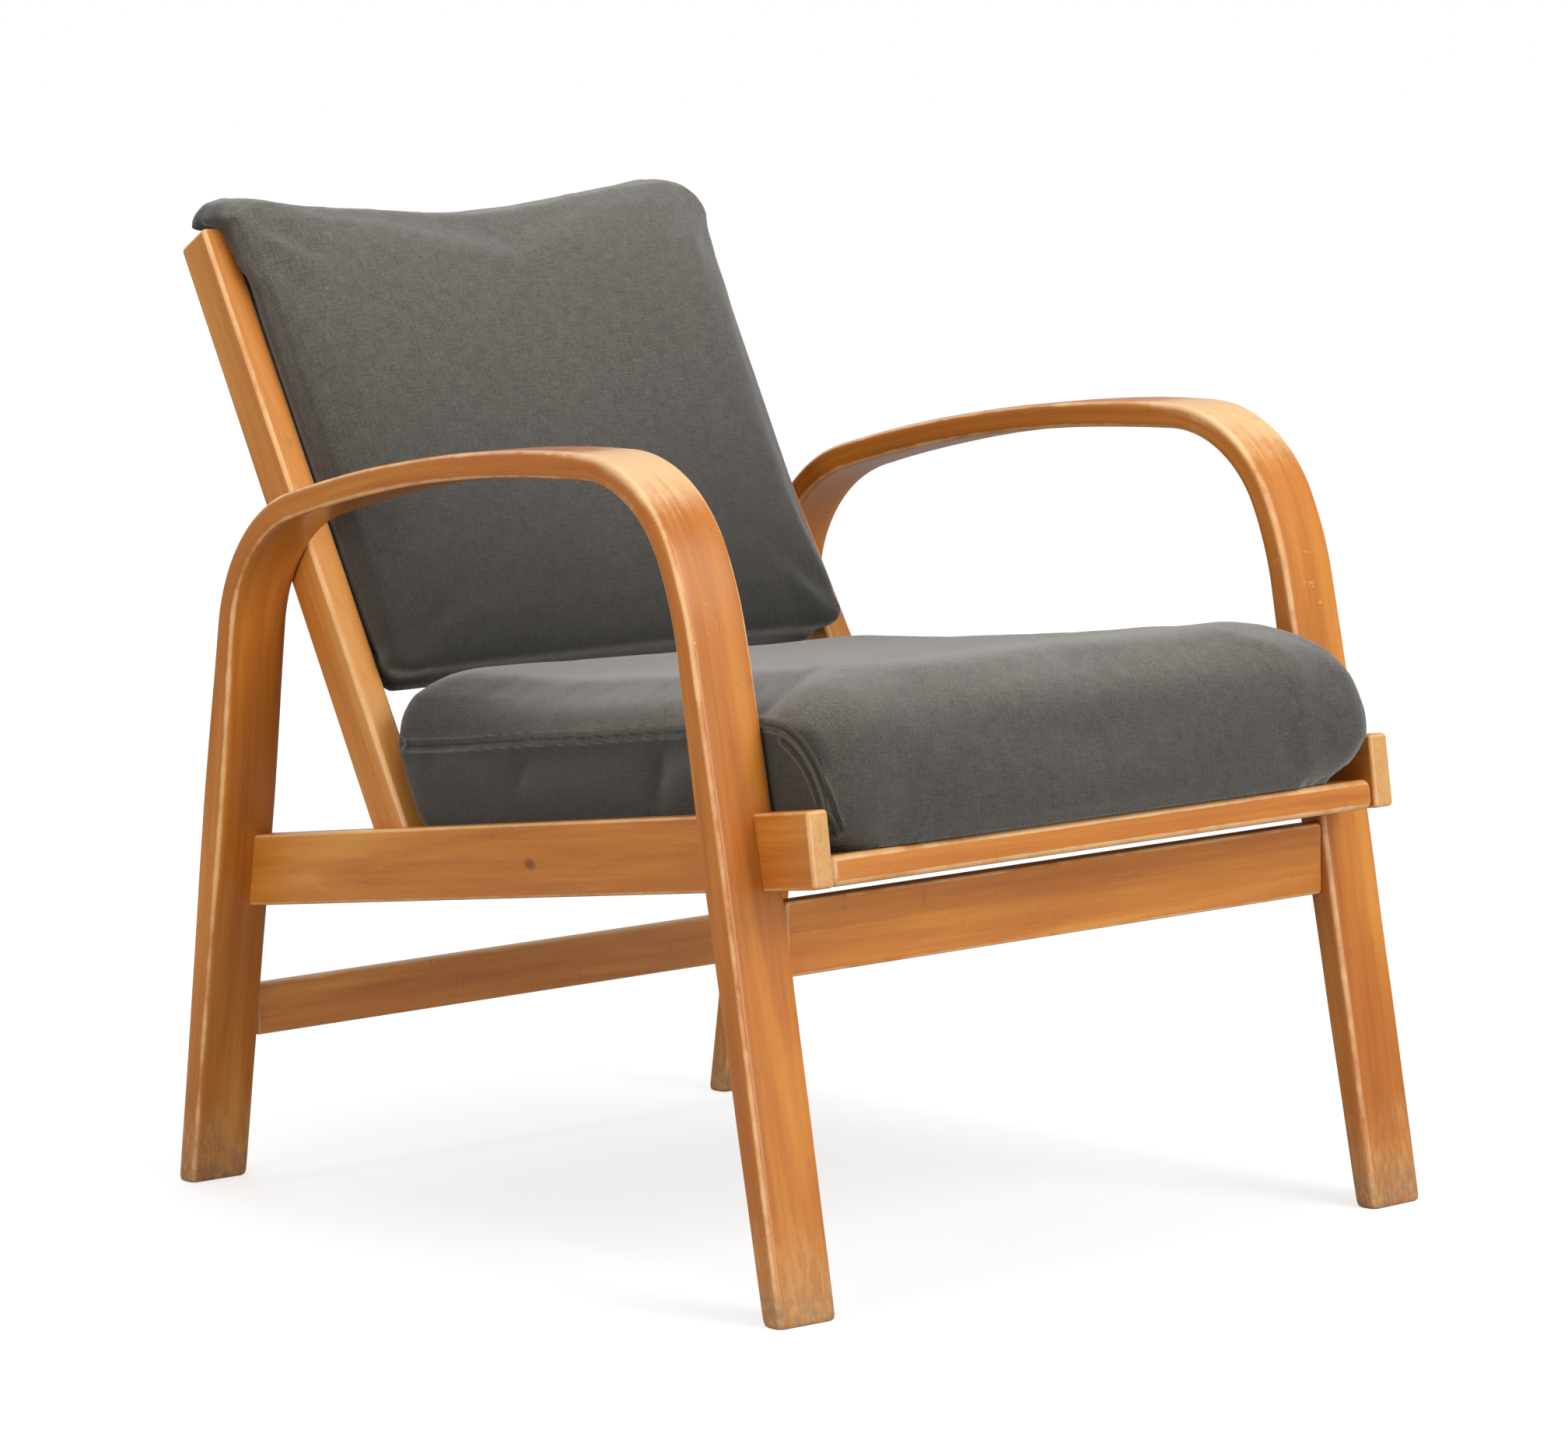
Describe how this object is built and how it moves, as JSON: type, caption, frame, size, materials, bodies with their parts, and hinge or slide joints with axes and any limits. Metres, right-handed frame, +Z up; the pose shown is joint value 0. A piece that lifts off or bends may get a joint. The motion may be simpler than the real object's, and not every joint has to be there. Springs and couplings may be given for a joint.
{
  "type": "bentwood lounge armchair",
  "caption": "Low lounge armchair with bentwood side frames, a reclined padded back and a loose seat cushion.",
  "frame": {"origin": "floor level, in the middle of the chair's width and depth", "axes": "+Z up, the front of the seat faces -Y, +X is to the right when looking at the front, and the nodes named right lie there"},
  "size_m": [0.628, 0.7879, 0.7484],
  "materials": {
    "beech": "honey-brown varnish, worn at the edges",
    "slat_beech": "pale oiled wood",
    "wool_cloth": "charcoal heathered wool weave",
    "foam": "foam filling",
    "steel": "plain wood screws"
  },
  "bodies": {
    "chair_frame": {"left_bentwood_frame": "beech", "right_bentwood_frame": "beech", "left_side_rail": "beech", "right_side_rail": "beech", "front_cross_rail": "beech", "rear_cross_rail": "beech", "seat_slats": "slat_beech", "front_stretcher": "beech", "rear_stretcher": "beech", "left_back_post": "beech", "right_back_post": "beech", "top_back_rail": "beech", "middle_back_rail": "beech", "bottom_back_rail": "beech", "back_pad_board": "slat_beech", "back_pad_core": "foam", "back_pad_cover": "wool_cloth", "back_pad_rear_cloth": "wool_cloth", "side_rail_screws": "steel", "post_screws": "steel", "back_pad_screws": "steel", "stretcher_dowels": "slat_beech", "cross_rail_dowels": "slat_beech", "slat_dowels": "slat_beech", "back_rail_dowels": "slat_beech"},
    "seat_cushion": {"seat_cushion_cover": "wool_cloth", "seat_cushion_core": "foam", "seat_cushion_base_cloth": "wool_cloth"}
  },
  "joints": [
    {"name": "seat_lift_off", "type": "slide", "parent": "chair_frame", "child": "seat_cushion", "axis": [0, -0.9063, 0.4226], "range_m": [0, 0.6]}
  ]
}
